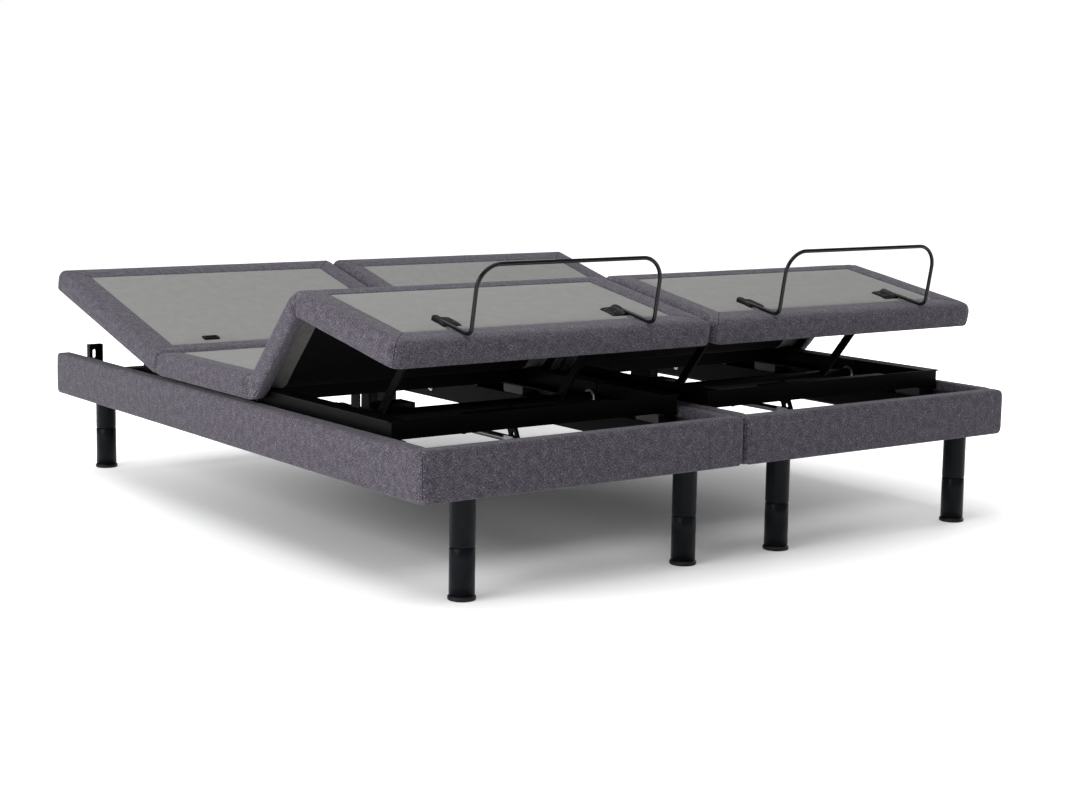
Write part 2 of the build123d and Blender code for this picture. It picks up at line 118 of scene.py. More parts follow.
world = bpy.data.worlds.new("studio")
bpy.context.scene.world = world
world.use_nodes = True
sky = world.node_tree.nodes["Background"]
ray = world.node_tree.nodes.new("ShaderNodeLightPath")
level = world.node_tree.nodes.new("ShaderNodeMapRange")
level.inputs["To Min"].default_value = 0.17
level.inputs["To Max"].default_value = 1.0
world.node_tree.links.new(ray.outputs["Is Camera Ray"], level.inputs["Value"])
world.node_tree.links.new(level.outputs["Result"], sky.inputs["Strength"])
sky.inputs["Color"].default_value = (1, 1, 1, 1)

for name, place, target, size, power in (
        ("overhead", (-0.7, -0.1, 4.4), (-0.1, 0.0, 0.3), (6.0, 4.6), 232),
        ("left_box", (-5.8, -0.9, 2.3), (-0.5, -0.2, 0.4), (4.5, 3.0), 232),
        ("right_fill", (5.6, 0.4, 1.7), (0.3, 0, 0.1), (5.0, 2.4), 120)):
    lamp = bpy.data.lights.new(name, "AREA")
    lamp.shape = "RECTANGLE"
    lamp.size, lamp.size_y = size
    lamp.energy = power
    softbox = bpy.data.objects.new(name, lamp)
    softbox.location = place
    softbox.rotation_euler = (Vector(target) - Vector(place)).to_track_quat("-Z", "Y").to_euler()
    softbox.visible_camera = False
    bpy.context.collection.objects.link(softbox)


# ---------------------------------------------------------------- base frames
# Each base stands on a rectangle of welded mild-steel tube, powder-coated satin black.
# The headboard brackets at the head end are folded plate, coated with it.

def speckled(name, dark, light, scale, roughness, grain, lift, metallic=0.0, shine=0.5):
    """Finish with a cloudy colour, uneven gloss and a fine surface grain, sized in metres."""
    material, nodes, link, shader = new_material(name)
    where = nodes.new("ShaderNodeTexCoord")
    blotch = nodes.new("ShaderNodeTexNoise")
    blotch.inputs["Scale"].default_value = scale
    blotch.inputs["Detail"].default_value = 6
    tone = nodes.new("ShaderNodeValToRGB")
    tone.color_ramp.elements[0].position = 0.3
    tone.color_ramp.elements[1].position = 0.75
    tone.color_ramp.elements[0].color = (*dark, 1)
    tone.color_ramp.elements[1].color = (*light, 1)
    gloss = nodes.new("ShaderNodeMapRange")
    gloss.inputs["To Min"].default_value = roughness[0]
    gloss.inputs["To Max"].default_value = roughness[1]
    peel = nodes.new("ShaderNodeTexNoise")
    peel.inputs["Scale"].default_value = grain
    peel.inputs["Detail"].default_value = 3
    bump = nodes.new("ShaderNodeBump")
    bump.inputs["Strength"].default_value = 0.35
    bump.inputs["Distance"].default_value = lift
    link(where.outputs["Object"], blotch.inputs["Vector"])
    link(where.outputs["Object"], peel.inputs["Vector"])
    link(blotch.outputs["Fac"], tone.inputs["Fac"])
    link(tone.outputs["Color"], shader.inputs["Base Color"])
    link(blotch.outputs["Fac"], gloss.inputs["Value"])
    link(gloss.outputs["Result"], shader.inputs["Roughness"])
    link(peel.outputs["Fac"], bump.inputs["Height"])
    link(bump.outputs["Normal"], shader.inputs["Normal"])
    shader.inputs["Metallic"].default_value = metallic
    shader.inputs["Specular IOR Level"].default_value = shine
    return material


def coat(material, *names):
    """Give modelled nodes their real finish."""
    for name in names:
        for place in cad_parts[name].material_slots:
            place.material = material


powder_coat = speckled("black_powder_coat", (0.0014, 0.0014, 0.0017), (0.003, 0.003, 0.0035), 9,
                       (0.36, 0.52), 900, 0.00025, shine=0.05)
coat(powder_coat, "left_base_frame", "right_base_frame", "headboard_brackets")


def new_piece(name, shape, materials, body=None):
    """Turn a finished bmesh into an object with outward normals that rides on a body."""
    mesh = bpy.data.meshes.new(name)
    bmesh.ops.recalc_face_normals(shape, faces=shape.faces)
    shape.to_mesh(mesh)
    shape.free()
    for material in materials:
        mesh.materials.append(material)
    piece = bpy.data.objects.new(name, mesh)
    bpy.context.collection.objects.link(piece)
    if body:
        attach(piece, body)
    return piece


def turned(shape, profile, origin, axis, segments=40, smooth=True, material=0):
    """Add a lathe-turned form: profile gives radius and height along the axis from the origin."""
    turn = Vector((0, 0, 1)).rotation_difference(Vector(axis)).to_matrix()
    rings = []
    for radius, height in profile:
        ring = []
        for step in range(segments):
            angle = 2 * pi * step / segments
            point = Vector((radius * cos(angle), radius * sin(angle), height))
            ring.append(shape.verts.new(Vector(origin) + turn @ point))
        rings.append(ring)
    faces = [shape.faces.new(rings[0][::-1]), shape.faces.new(rings[-1])]
    for low, high in zip(rings, rings[1:]):
        for step in range(segments):
            after = (step + 1) % segments
            face = shape.faces.new((low[step], low[after], high[after], high[step]))
            face.smooth = smooth
            faces.append(face)
    for face in faces:
        face.material_index = material


unit_centres = {"left": -0.4779, "right": 0.4779}

weld_metal = speckled("painted_weld", (0.008, 0.008, 0.01), (0.016, 0.016, 0.018), 60,
                      (0.4, 0.55), 300, 0.0006)
weld_y = 0.9435
weld_bead = ((0.0006, -0.0021), (0.0024, -0.0012), (0.0028, 0), (0.0024, 0.0012), (0.0006, 0.0021))
for unit, centre in unit_centres.items():
    beads = bmesh.new()
    for face in (-1, 1):
        for end in (-1, 1):
            for low, high in ((0.256, 0.302), (0.302, 0.316)):
                for edge_x in (0.3835, 0.4555):
                    steps = max(3, round((high - low) / 0.004))
                    for step in range(steps):
                        z = low + (high - low) * (step + 0.5) / steps
                        at = (centre + face * edge_x, end * weld_y, z)
                        turned(beads, weld_bead, at, (0, 0.35 * end, 1), segments=8)
    new_piece(f"{unit}_frame_welds", beads, [weld_metal], "base")


# ---------------------------------------------------------------- bolts in the side tubes
# Zinc-plated hexagon bolts with a flat washer under the head, four on the inner
# face of each side tube, where the rails are clamped on.

zinc = speckled("zinc_plate", (0.50, 0.51, 0.53), (0.68, 0.69, 0.70), 240, (0.22, 0.42), 1500, 0.0001,
                metallic=1.0)


def hex_bolt(shape, origin, axis, across=0.015, height=0.006, washer=0.0115):
    """Hexagon head with a rounded crown, on a washer."""
    turned(shape, ((washer - 0.0004, 0), (washer, 0.0004), (washer, 0.0012), (washer - 0.0004, 0.0016)),
           origin, axis, segments=28)
    half = across / 2 / cos(pi / 6)
    start = Vector(origin) + Vector(axis).normalized() * 0.0016
    top = height - 0.0016
    turned(shape, ((half, 0), (half, top - 0.0012), (half * 0.93, top - 0.0003), (half * 0.72, top)),
           start, axis, segments=6, smooth=False)


bolts = bmesh.new()
for unit, centre in unit_centres.items():
    for face in (-1, 1):
        for y in (-0.75, -0.25, 0.25, 0.75):
            hex_bolt(bolts, (centre + face * 0.3835, y, 0.285), (-face, 0, 0))
bolt_heads = new_piece("rail_bolt_heads", bolts, [zinc], "base")
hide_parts("rail_bolts")


# ---------------------------------------------------------------- legs
# Two-part moulded legs in glossy black plastic, screwed one half onto the other,
# each standing on a wider pressed-on glide.

leg_plastic = speckled("leg_plastic", (0.004, 0.0045, 0.006), (0.007, 0.0075, 0.010), 25, (0.24, 0.34),
                       700, 0.00008, shine=0.07)
glide_plastic = speckled("glide_plastic", (0.005, 0.005, 0.006), (0.010, 0.010, 0.011), 60, (0.42, 0.55),
                         1200, 0.0001, shine=0.25)
leg_halves = {
    "leg_tops": ("legs_upper", leg_plastic, "leg_plastic",
                 ((0.0268, 0.1220), (0.0284, 0.1222), (0.0290, 0.1230), (0.0300, 0.1246),
                  (0.0300, 0.2290),
                  (0.0303, 0.2300), (0.0303, 0.2352), (0.0298, 0.2360))),
    "leg_bottoms": ("legs_lower", leg_plastic, "leg_plastic",
                    ((0.0300, 0.0090), (0.0300, 0.1192), (0.0291, 0.1208), (0.0284, 0.1218),
                     (0.0268, 0.1220))),
    "leg_feet": ("leg_glides", glide_plastic, "nylon",
                 ((0.0290, 0.0000), (0.0316, 0.0003), (0.0328, 0.0014), (0.0330, 0.0030), (0.0330, 0.0068),
                  (0.0326, 0.0082), (0.0312, 0.0090), (0.0301, 0.0092), (0.0301, 0.0104), (0.0297, 0.0106))),
}
for name, (node, plastic, finish, profile) in leg_halves.items():
    shape = bmesh.new()
    for x in (-0.8129, -0.1554, 0.1554, 0.8129):
        for y in (-0.969, 0.969):
            turned(shape, profile, (x, y, 0), (0, 0, 1), segments=56)
    legs = new_piece(name, shape, [plastic], "base")
    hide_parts(node)


# ---------------------------------------------------------------- upholstered rails
# Timber rails wrapped in thin foam and a heather-grey woven cover, pulled tight and
# stapled inside. The foot rail's ends are rounded over and sewn to the side rails.

def heather_cloth():
    """Woven polyester in mixed grey, plum and brown yarns, patterned in the cloth's own metres."""
    material, nodes, link, shader = new_material("heather_cloth")
    where = nodes.new("ShaderNodeUVMap")
    where.uv_map = "cloth"
    total = None
    for scale, detail, weight in (((760, 210, 1), 1.5, 0.46),
                                  ((190, 820, 1), 1.5, 0.38),
                                  ((60, 46, 1), 3.0, 0.16)):
        spread = nodes.new("ShaderNodeMapping")
        spread.inputs["Scale"].default_value = scale
        yarn = nodes.new("ShaderNodeTexNoise")
        yarn.inputs["Scale"].default_value = 1.0
        yarn.inputs["Detail"].default_value = detail
        yarn.inputs["Roughness"].default_value = 0.62
        share = nodes.new("ShaderNodeMath")
        share.operation = "MULTIPLY"
        share.inputs[1].default_value = weight
        link(where.outputs["UV"], spread.inputs["Vector"])
        link(spread.outputs["Vector"], yarn.inputs["Vector"])
        link(yarn.outputs["Fac"], share.inputs[0])
        if total is None:
            total = share.outputs[0]
        else:
            both = nodes.new("ShaderNodeMath")
            both.operation = "ADD"
            link(total, both.inputs[0])
            link(share.outputs[0], both.inputs[1])
            total = both.outputs[0]
    tone = nodes.new("ShaderNodeValToRGB")
    ramp = tone.color_ramp
    ramp.elements[0].position = 0.36
    ramp.elements[0].color = (0.008, 0.0065, 0.012, 1)
    ramp.elements[1].position = 0.62
    ramp.elements[1].color = (0.215, 0.203, 0.240, 1)
    for position, colour in ((0.45, (0.028, 0.0245, 0.038, 1)), (0.50, (0.059, 0.053, 0.071, 1)),
                             (0.535, (0.084, 0.068, 0.077, 1)), (0.575, (0.128, 0.119, 0.147, 1))):
        stop = ramp.elements.new(position)
        stop.color = colour
    link(total, tone.inputs["Fac"])
    link(tone.outputs["Color"], shader.inputs["Base Color"])

    weave = None
    for direction in ("X", "Y"):
        thread = nodes.new("ShaderNodeTexWave")
        thread.bands_direction = direction
        thread.inputs["Scale"].default_value = 95
        thread.inputs["Distortion"].default_value = 1.6
        thread.inputs["Detail Scale"].default_value = 3
        link(where.outputs["UV"], thread.inputs["Vector"])
        if weave is None:
            weave = thread.outputs["Fac"]
        else:
            over = nodes.new("ShaderNodeMath")
            over.operation = "MULTIPLY"
            link(weave, over.inputs[0])
            link(thread.outputs["Fac"], over.inputs[1])
            weave = over.outputs[0]
    raised = nodes.new("ShaderNodeMath")
    raised.operation = "ADD"
    link(weave, raised.inputs[0])
    link(total, raised.inputs[1])
    bump = nodes.new("ShaderNodeBump")
    bump.inputs["Strength"].default_value = 0.5
    bump.inputs["Distance"].default_value = 0.0006
    link(raised.outputs[0], bump.inputs["Height"])
    link(bump.outputs["Normal"], shader.inputs["Normal"])
    shader.inputs["Roughness"].default_value = 0.92
    shader.inputs["Specular IOR Level"].default_value = 0.2
    shader.inputs["Sheen Weight"].default_value = 0.10
    shader.inputs["Sheen Roughness"].default_value = 0.5
    return material


heather = heather_cloth()
rail_lining = speckled("rail_lining", (0.010, 0.010, 0.011), (0.020, 0.020, 0.021), 30, (0.8, 0.95),
                       1400, 0.0003)


def skin(name, rings, texture, materials, face_finish=None, body=None, close=None):
    """Quad skin over rings of points, closed at both ends, with the cloth's own metres as UVs."""
    shape = bmesh.new()
    cloth = shape.loops.layers.uv.new("cloth")
    rows = [[shape.verts.new(point) for point in ring] for ring in rings]
    count = len(rows[0])
    where = {}
    for row, spots in zip(rows, texture):
        for vert, spot in zip(row, spots):
            where[vert] = spot
    for number, (near, far) in enumerate(zip(rows, rows[1:])):
        for step in range(count):
            after = (step + 1) % count
            face = shape.faces.new((near[step], near[after], far[after], far[step]))
            if face_finish:
                face.material_index = face_finish(number, step)
    for end, row in ((0, rows[0]), (-1, rows[-1])):
        for pick in (close or [list(range(count))]):
            face = shape.faces.new([row[i] for i in pick])
            face.tag = True
            if face_finish:
                face.material_index = face_finish(end, pick[0])
    shape.normal_update()
    for face in shape.faces:
        face.smooth = True
        for loop in face.loops:
            point = loop.vert.co
            loop[cloth].uv = where[loop.vert]
            if face.tag:
                loop[cloth].uv = (point.y if abs(face.normal.x) > 0.5 else point.x, point.z)
    return new_piece(name, shape, materials, body)


rail_top = 0.358
rail_bottom = 0.236
rail_round = 0.020
stapled_from = 21


def rail_section(end_gap, sunk=0.0):
    """Depth from the outer face, and height, round one rail; both draw in near a rounded end."""
    reach = min(end_gap, rail_round)
    draw = rail_round - sqrt(rail_round ** 2 - (rail_round - reach) ** 2)
    low, high, outer = rail_bottom + draw, rail_top - draw - sunk, draw * 0.7
    edge = 0.009
    points = [(outer + edge, low), (outer + edge * 0.5, low + edge * 0.13)]
    points += [(outer + edge * 0.13, low + edge * 0.5)]
    points += [(outer, low + edge)]
    points += [(outer, low + edge + (high - low - 2 * edge) * share) for share in (0.25, 0.5, 0.75)]
    points += [(outer, high - edge), (outer + edge * 0.13, high - edge * 0.5)]
    points += [(outer + edge * 0.5, high - edge * 0.13)]
    points += [(outer + edge, high), (0.022, high), (0.030, high), (0.038, high)]
    points += [(0.0435, high - 0.0015), (0.045, high - 0.006), (0.045, high - 0.019), (0.0435, high - 0.0245)]
    points += [(0.040, 0.333 - draw * 0.2), (0.023, 0.333 - draw * 0.2), (0.022, 0.328 - draw)]
    points += [(0.022, 0.28), (0.022, low + 0.001), (0.020, low)]
    return points


def rail(name, node, start, end, place, sunk_before=None):
    """Cover one rail between two stations; place(station, depth, height) gives the point."""
    gaps = (0, 0.0008, 0.003, 0.007, 0.012, 0.017, 0.022)
    steps = round((end - start) / 0.016)
    stations = sorted({round(start + gap, 5) for gap in gaps} | {round(end - gap, 5) for gap in gaps}
                      | {round(start + 0.03 + (end - start - 0.06) * i / steps, 5) for i in range(steps + 1)})
    rings, texture = [], []
    for station in stations:
        sunk = 0.0016 if sunk_before is not None and station < sunk_before else 0.0
        section = rail_section(min(station - start, end - station) + 0.0002, sunk)
        ring, spots, run = [], [], 0.0
        for number, (depth, height) in enumerate(section):
            swell = 0.0011 * noise.noise(Vector((station * 7, height * 9, len(name))))
            puff = 0.0010 * sin(pi * min(1, max(0, (height - rail_bottom) / (rail_top - rail_bottom))))
            if depth < 0.004:
                depth = depth - swell - puff + 0.001
            if number:
                run += hypot(depth - section[number - 1][0], height - section[number - 1][1])
            ring.append(place(station, depth, height))
            spots.append((station, run))
        rings.append(ring)
        texture.append(spots)
    piece = skin(name, rings, texture, [heather, rail_lining],
                 lambda row, step: 1 if step >= stapled_from else 0, "base")
    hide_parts(node)
    return piece


for unit, centre in unit_centres.items():
    outward = -1 if unit == "left" else 1
    for side, face in (("outer", outward), ("inner", -outward)):
        rail(f"{unit}_{side}_rail_cover", f"{unit}_{side}_rail", -1.0138, 1.016,
             lambda y, depth, height, face=face, centre=centre: (centre + face * (0.4772 - depth), y, height),
             sunk_before=-0.966)
    rail(f"{unit}_foot_rail_cover", f"{unit}_foot_rail", -0.4758, 0.4758,
         lambda x, depth, height, centre=centre: (centre + x, -1.016 + depth, height))


# ---------------------------------------------------------------- sliding carriages
# A pressed-steel carriage with outward lips rides on nylon glide blocks along the
# side tubes; cross tubes, hangers and bearing plates are welded to it.

coat(powder_coat, "left_carriage_frame", "right_carriage_frame")
nylon = speckled("black_nylon", (0.014, 0.014, 0.015), (0.024, 0.024, 0.025), 40, (0.4, 0.5), 800, 0.0001)
coat(nylon, "left_carriage_glides", "right_carriage_glides")
bearing_ring = ((0.0205, 0), (0.0215, 0.0006), (0.0215, 0.0034), (0.0205, 0.004), (0.0158, 0.004))
for unit, centre in unit_centres.items():
    fixings = bmesh.new()
    for face in (-1, 1):
        for y in (-0.16, 0.06):
            for shift in (-0.012, 0.012):
                spot = (centre + face * 0.4267, y + shift, 0.366)
                hex_bolt(fixings, spot, (face, 0, 0), 0.010, 0.005, 0.008)
        for y in (0.333, -0.515):
            turned(fixings, bearing_ring, (centre + face * 0.3815, y, 0.352), (-face, 0, 0), segments=36)
    new_piece(f"{unit}_carriage_fixings", fixings, [zinc], f"{unit}_carriage")


# ---------------------------------------------------------------- control boxes and drives
# A moulded receiver box is screwed under each seat board. Each base has two linear
# drives: gearbox, motor and sleeve in dark plastic, with a bright steel push rod.

ground_steel = speckled("ground_steel", (0.16, 0.16, 0.17), (0.26, 0.26, 0.27), 200, (0.25, 0.4),
                        1500, 0.0001, metallic=1.0)
housing = speckled("drive_housing", (0.004, 0.004, 0.0045), (0.008, 0.008, 0.009), 35, (0.4, 0.52),
                   600, 0.0002, shine=0.2)
for unit, centre in unit_centres.items():
    coat(housing, f"{unit}_head_actuator", f"{unit}_leg_actuator", f"{unit}_control_box")
    coat(ground_steel, f"{unit}_head_actuator_rod", f"{unit}_leg_actuator_rod")
    details = bmesh.new()
    for x in (-0.048, 0.048):
        for y in (-0.110, 0.010):
            turned(details, ((0.0042, 0), (0.0042, 0.0008), (0.0034, 0.0018), (0.0014, 0.0021)),
                   (centre + x, y, 0.3502), (0, 0, -1), segments=20)
    for step in range(4):
        turned(details, ((0.0085, 0), (0.0085, 0.004), (0.0070, 0.0048), (0.0070, 0.0085), (0.0052, 0.0092)),
               (centre - 0.036 + 0.024 * step, -0.1248, 0.372), (0, -1, 0), segments=24)
    for motor_x, start, way in ((-0.04, -0.134, 1), (0.04, 0.034, -1)):
        height = 0.268 if way > 0 else 0.2659
        for length in (0.084, 0.100, 0.184):
            turned(details, ((0.0268, 0), (0.0279, 0.0008), (0.0279, 0.0042), (0.0268, 0.005)),
                   (centre + motor_x, start + way * length, height), (0, way, 0), segments=44)
        turned(details, ((0.0255, 0), (0.0250, 0.0028), (0.0215, 0.0045), (0.006, 0.005)),
               (centre + motor_x, start + way * 0.196, height), (0, way, 0), segments=44)
        rod_x = -0.11 if way > 0 else 0.11
        for sx in (-0.022, 0.022):
            for sz in (-0.022, 0.022):
                turned(details, ((0.0038, 0), (0.0038, 0.0012), (0.003, 0.002), (0.001, 0.0022)),
                       (centre + rod_x + sx, start - way * 0.0002 + way * 0.0762, height + sz), (0, way, 0),
                       segments=16)
    new_piece(f"{unit}_drive_details", details, [housing], f"{unit}_carriage")


# ---------------------------------------------------------------- lift tubes and rollers
# Two torque tubes turn in the carriage; their flat steel arms carry nylon rollers
# that push up the back and leg boards.

roller_nylon = speckled("roller_nylon", (0.020, 0.020, 0.021), (0.034, 0.034, 0.035), 50, (0.35, 0.45),
                        900, 0.0001)
for unit in unit_centres:
    coat(powder_coat, f"{unit}_head_lift_tube", f"{unit}_leg_lift_tube")
    coat(roller_nylon, f"{unit}_head_lift_rollers", f"{unit}_leg_lift_rollers")


# ---------------------------------------------------------------- deck boards
# Plywood boards inside the padded panels, hinged to each other underneath.

birch_ply = speckled("birch_plywood", (0.36, 0.25, 0.14), (0.50, 0.37, 0.22), 14, (0.55, 0.7), 500, 0.0003)
for unit in unit_centres:
    coat(birch_ply, *(f"{unit}_{panel}_board" for panel in ("head", "seat", "thigh", "foot")))


# ---------------------------------------------------------------- padded deck covers
# One heather cover runs over foam on all four boards, with a grip felt sewn into the
# top of each panel. It folds at the seat and knee, and its skirts hang beside the boards.

def felt_cloth():
    """Needled grip felt: pale grey, faintly cloudy, with fine crossing fibres."""
    material, nodes, link, shader = new_material("grip_felt")
    where = nodes.new("ShaderNodeUVMap")
    where.uv_map = "cloth"
    cloud = nodes.new("ShaderNodeTexNoise")
    cloud.inputs["Scale"].default_value = 26
    cloud.inputs["Detail"].default_value = 8
    cloud.inputs["Roughness"].default_value = 0.68
    tone = nodes.new("ShaderNodeValToRGB")
    tone.color_ramp.elements[0].position = 0.32
    tone.color_ramp.elements[0].color = (0.168, 0.170, 0.163, 1)
    tone.color_ramp.elements[1].position = 0.70
    tone.color_ramp.elements[1].color = (0.196, 0.198, 0.190, 1)
    fibre = nodes.new("ShaderNodeTexNoise")
    fibre.inputs["Scale"].default_value = 700
    fibre.inputs["Detail"].default_value = 5
    bump = nodes.new("ShaderNodeBump")
    bump.inputs["Strength"].default_value = 0.4
    bump.inputs["Distance"].default_value = 0.0005
    link(where.outputs["UV"], cloud.inputs["Vector"])
    link(where.outputs["UV"], fibre.inputs["Vector"])
    link(cloud.outputs["Fac"], tone.inputs["Fac"])
    link(tone.outputs["Color"], shader.inputs["Base Color"])
    link(fibre.outputs["Fac"], bump.inputs["Height"])
    link(bump.outputs["Normal"], shader.inputs["Normal"])
    shader.inputs["Roughness"].default_value = 0.95
    shader.inputs["Specular IOR Level"].default_value = 0.15
    shader.inputs["Sheen Weight"].default_value = 0.1
    shader.inputs["Sheen Roughness"].default_value = 0.6
    return material


felt = felt_cloth()
grey_lining = speckled("grey_lining", (0.085, 0.084, 0.080), (0.125, 0.123, 0.116), 45, (0.85, 0.95),
                       1100, 0.0004)
# Black dust lining under the boards; its near-black colour is also painted shade, darkening the underside to
# the depth of the shadow beneath the deck.
black_lining_painted_shade = speckled("black_lining_painted_shade", (0.0025, 0.0025, 0.003), (0.005, 0.005, 0.0055), 35, (0.8, 0.95),
                        1300, 0.0004, shine=0.06)

panel_depth = 0.060
back_fold = Vector((0, 0.318, 0.428))
seat_fold = Vector((0, -0.208, 0.428))
knee_hinge = Vector((0, -0.44748, 0.60054))


def uphill(angle):
    """Unit direction in the Y-Z plane, angle degrees up from +Y."""
    return Vector((0, cos(radians(angle)), sin(radians(angle))))


head_end = back_fold + uphill(15) * 0.706
half_turn = radians((47.5 + 10.2) / 2)
knee = knee_hinge + (uphill(42.5) + uphill(100.2)).normalized() * (panel_depth / cos(half_turn))
foot_end = knee_hinge + uphill(100.2) * panel_depth - uphill(10.2) * 0.443
corners = [head_end, back_fold, seat_fold, knee, foot_end]
corner_radii = [0, 0.014, 0.014, 0.068, 0]


def cover_path():
    """Straight runs and arcs down the middle of the deck, each with its length."""
    runs, start = [], corners[0]
    for number in range(1, len(corners)):
        here = corners[number]
        before = (here - corners[number - 1]).normalized()
        if number == len(corners) - 1:
            runs.append(("line", start, before, (here - start).length))
            break
        after = (corners[number + 1] - here).normalized()
        turn = before.angle(after)
        radius = corner_radii[number]
        cut = radius * tan(turn / 2)
        runs.append(("line", start, before, (here - before * cut - start).length))
        start = here + after * cut
        runs.append(("arc", here - before * cut, before, radius * turn, after, radius))
    return runs


runs = cover_path()
fold_at = [runs[0][3] + runs[1][3] / 2]
fold_at.append(fold_at[0] + runs[1][3] / 2 + runs[2][3] + runs[3][3] / 2)
fold_at.append(fold_at[1] + runs[3][3] / 2 + runs[4][3] + runs[5][3] / 2)
cover_length = sum(run[3] for run in runs)


def on_path(station):
    """Point and upward normal of the bare deck surface at a distance from the head end."""
    for run in runs:
        if station <= run[3] + 1e-9 or run is runs[-1]:
            break
        station -= run[3]
    if run[0] == "line":
        along = run[2]
        return run[1] + along * station, Vector((0, along.z, -along.y))
    _, start, before, length, after, radius = run
    first = Vector((0, before.z, -before.y))
    way = 1 if before.y * after.z - before.z * after.y > 0 else -1
    turn = before.angle(after) * station / length
    middle = start - first * (radius * way)
    normal = Matrix.Rotation(turn * way, 3, "X") @ first
    return middle + normal * (radius * way), normal


felt_half = 0.395
felt_runs = [(0.080, 0.646), (fold_at[0] + 0.010, fold_at[1] - 0.040),
             (fold_at[1] + 0.036, fold_at[2] - 0.070), (fold_at[2] + 0.058, cover_length - 0.083)]


def felt_gap(x, station):
    """Distance to the nearest sewn felt edge, and whether the spot is on felt."""
    best, inside = 1.0, False
    for start, end in felt_runs:
        across, along = felt_half - abs(x), min(station - start, end - station)
        if across > 0 and along > 0:
            return min(across, along), True
        best = min(best, hypot(min(across, 0), min(along, 0)))
    return best, inside


def cover_height(x, station):
    """How far the padding stands above the bare deck: crowned panels with a sunk seam."""
    gap, on_felt = felt_gap(x, station)
    fullness = 0.0034 if on_felt else 0.0030
    seam = 0.0026 * exp(-(gap / 0.0028) ** 2)
    wander = 0.0010 * noise.noise(Vector((x * 8, station * 8, 3.1))) * min(1, gap / 0.02)
    ends = min(1, station / 0.03, (cover_length - station) / 0.03)
    height = fullness * (1 - exp(-(gap / 0.022) ** 2)) * ends - seam + wander * ends
    for fold, depth, width in ((fold_at[0], 0.0045, 0.010), (fold_at[1], 0.002, 0.010)):
        height -= depth * exp(-((station - fold) / width) ** 2)
    near_edge = max(0.0, (abs(x) - 0.385) / 0.087)
    for fold, offset, depth in ((1, -0.016, 0.0022), (1, 0.018, 0.0024), (2, -0.026, 0.0030),
                                (2, -0.004, 0.0042), (2, 0.020, 0.0030)):
        height -= depth * near_edge * exp(-((station - fold_at[fold] - offset) / 0.006) ** 2)
    return height


def side_tuck(x, down, station):
    """How far a side is drawn in: creases at the folds and soft unevenness elsewhere."""
    share = min(1, max(0, down / panel_depth))
    drawn = 0.0010 * noise.noise(Vector((station * 9, down * 14, 7 if x > 0 else 5)))
    drawn += -0.0016 * sin(pi * share)
    drawn += 0.0055 * exp(-((station - fold_at[0]) / 0.006) ** 2)
    for offset, depth, width in ((-0.020, 0.004, 0.004), (-0.004, 0.006, 0.004), (0.012, 0.004, 0.005)):
        drawn += depth * exp(-((station - fold_at[1] - offset) / width) ** 2) * (1 - share * 0.6)
    for offset, depth, width in ((-0.034, 0.005, 0.005), (-0.014, 0.011, 0.005), (0.004, 0.012, 0.005),
                                 (0.022, 0.007, 0.005)):
        drawn += depth * exp(-((station - fold_at[2] - offset) / width) ** 2) * (0.25 + 0.75 * share)
    return drawn


half_columns = [0.454, 0.442, 0.428, 0.414, 0.404, 0.3985, 0.395, 0.3915, 0.386, 0.376, 0.360]
half_columns += [0.336 - 0.024 * i for i in range(14)]
columns = [-x for x in half_columns] + [0.0] + half_columns[::-1]
under_columns = [0.454, 0.440, 0.437] + [0.437 - 0.0155 * i for i in range(1, 5)]
inner_count = len(columns) - 2 * len(under_columns)
under_columns += [0.375 - 0.750 * (i + 1) / (inner_count + 1) for i in range(inner_count)]
under_columns += [-x for x in under_columns[:7]][::-1]
side_points = 8
end_hem = 0.035
cover_half = 0.472
corner_round = 0.022
edge_round = 0.018
lining_depth = 0.0345


def cover_ring(centre, station, hollow):
    """One closed ring of points round the cover at a station."""
    end_gap = min(station, cover_length - station)
    half, drop = cover_half, 0.0
    if end_gap < corner_round:
        half += sqrt(corner_round ** 2 - (corner_round - end_gap) ** 2) - corner_round
    if end_gap < edge_round:
        drop = edge_round - sqrt(edge_round ** 2 - (edge_round - end_gap) ** 2)
    side = [(half - 0.006, 0.060), (half - 0.0018, 0.0582), (half, 0.054), (half, 0.047), (half, 0.040)]
    for a in (0, 30, 60):
        side.append((half - edge_round * (1 - cos(radians(a))), drop + edge_round * (1 - sin(radians(a)))))
    top_scale = (half - edge_round) / half_columns[0]
    lining = lining_depth + 0.0014 * exp(-((station - fold_at[1]) / 0.030) ** 2)
    outline = [(-x, down, True) for x, down in side]
    outline += [(x * top_scale, drop, False) for x in columns]
    outline += [(x, down, True) for x, down in side[::-1]]
    for number, x in enumerate(under_columns):
        inner = 2 <= number <= len(under_columns) - 3
        outline.append((x * min(1, top_scale), lining if inner and hollow else panel_depth, False))
    point, normal = on_path(station)
    ring, spots = [], []
    top = range(side_points, side_points + len(columns))
    run = 0.0
    for number, (x, down, at_side) in enumerate(outline):
        lift = 0.0
        shown_x = x
        if number in top:
            lift = cover_height(x, station)
        if at_side:
            rounding = max(0.0, 1 - down / edge_round)
            lift = cover_height(x, station) * rounding * 0.6
            shown_x = x - (1 if x > 0 else -1) * side_tuck(x, down, station) * (1 - rounding * 0.5)
        ring.append(Vector((centre + shown_x, 0, 0)) + point + normal * (lift - down))
        if number:
            run += hypot(x - outline[number - 1][0], down - outline[number - 1][1])
        spots.append((run, station + (drop if station > 1 else -drop)))
    return ring, spots


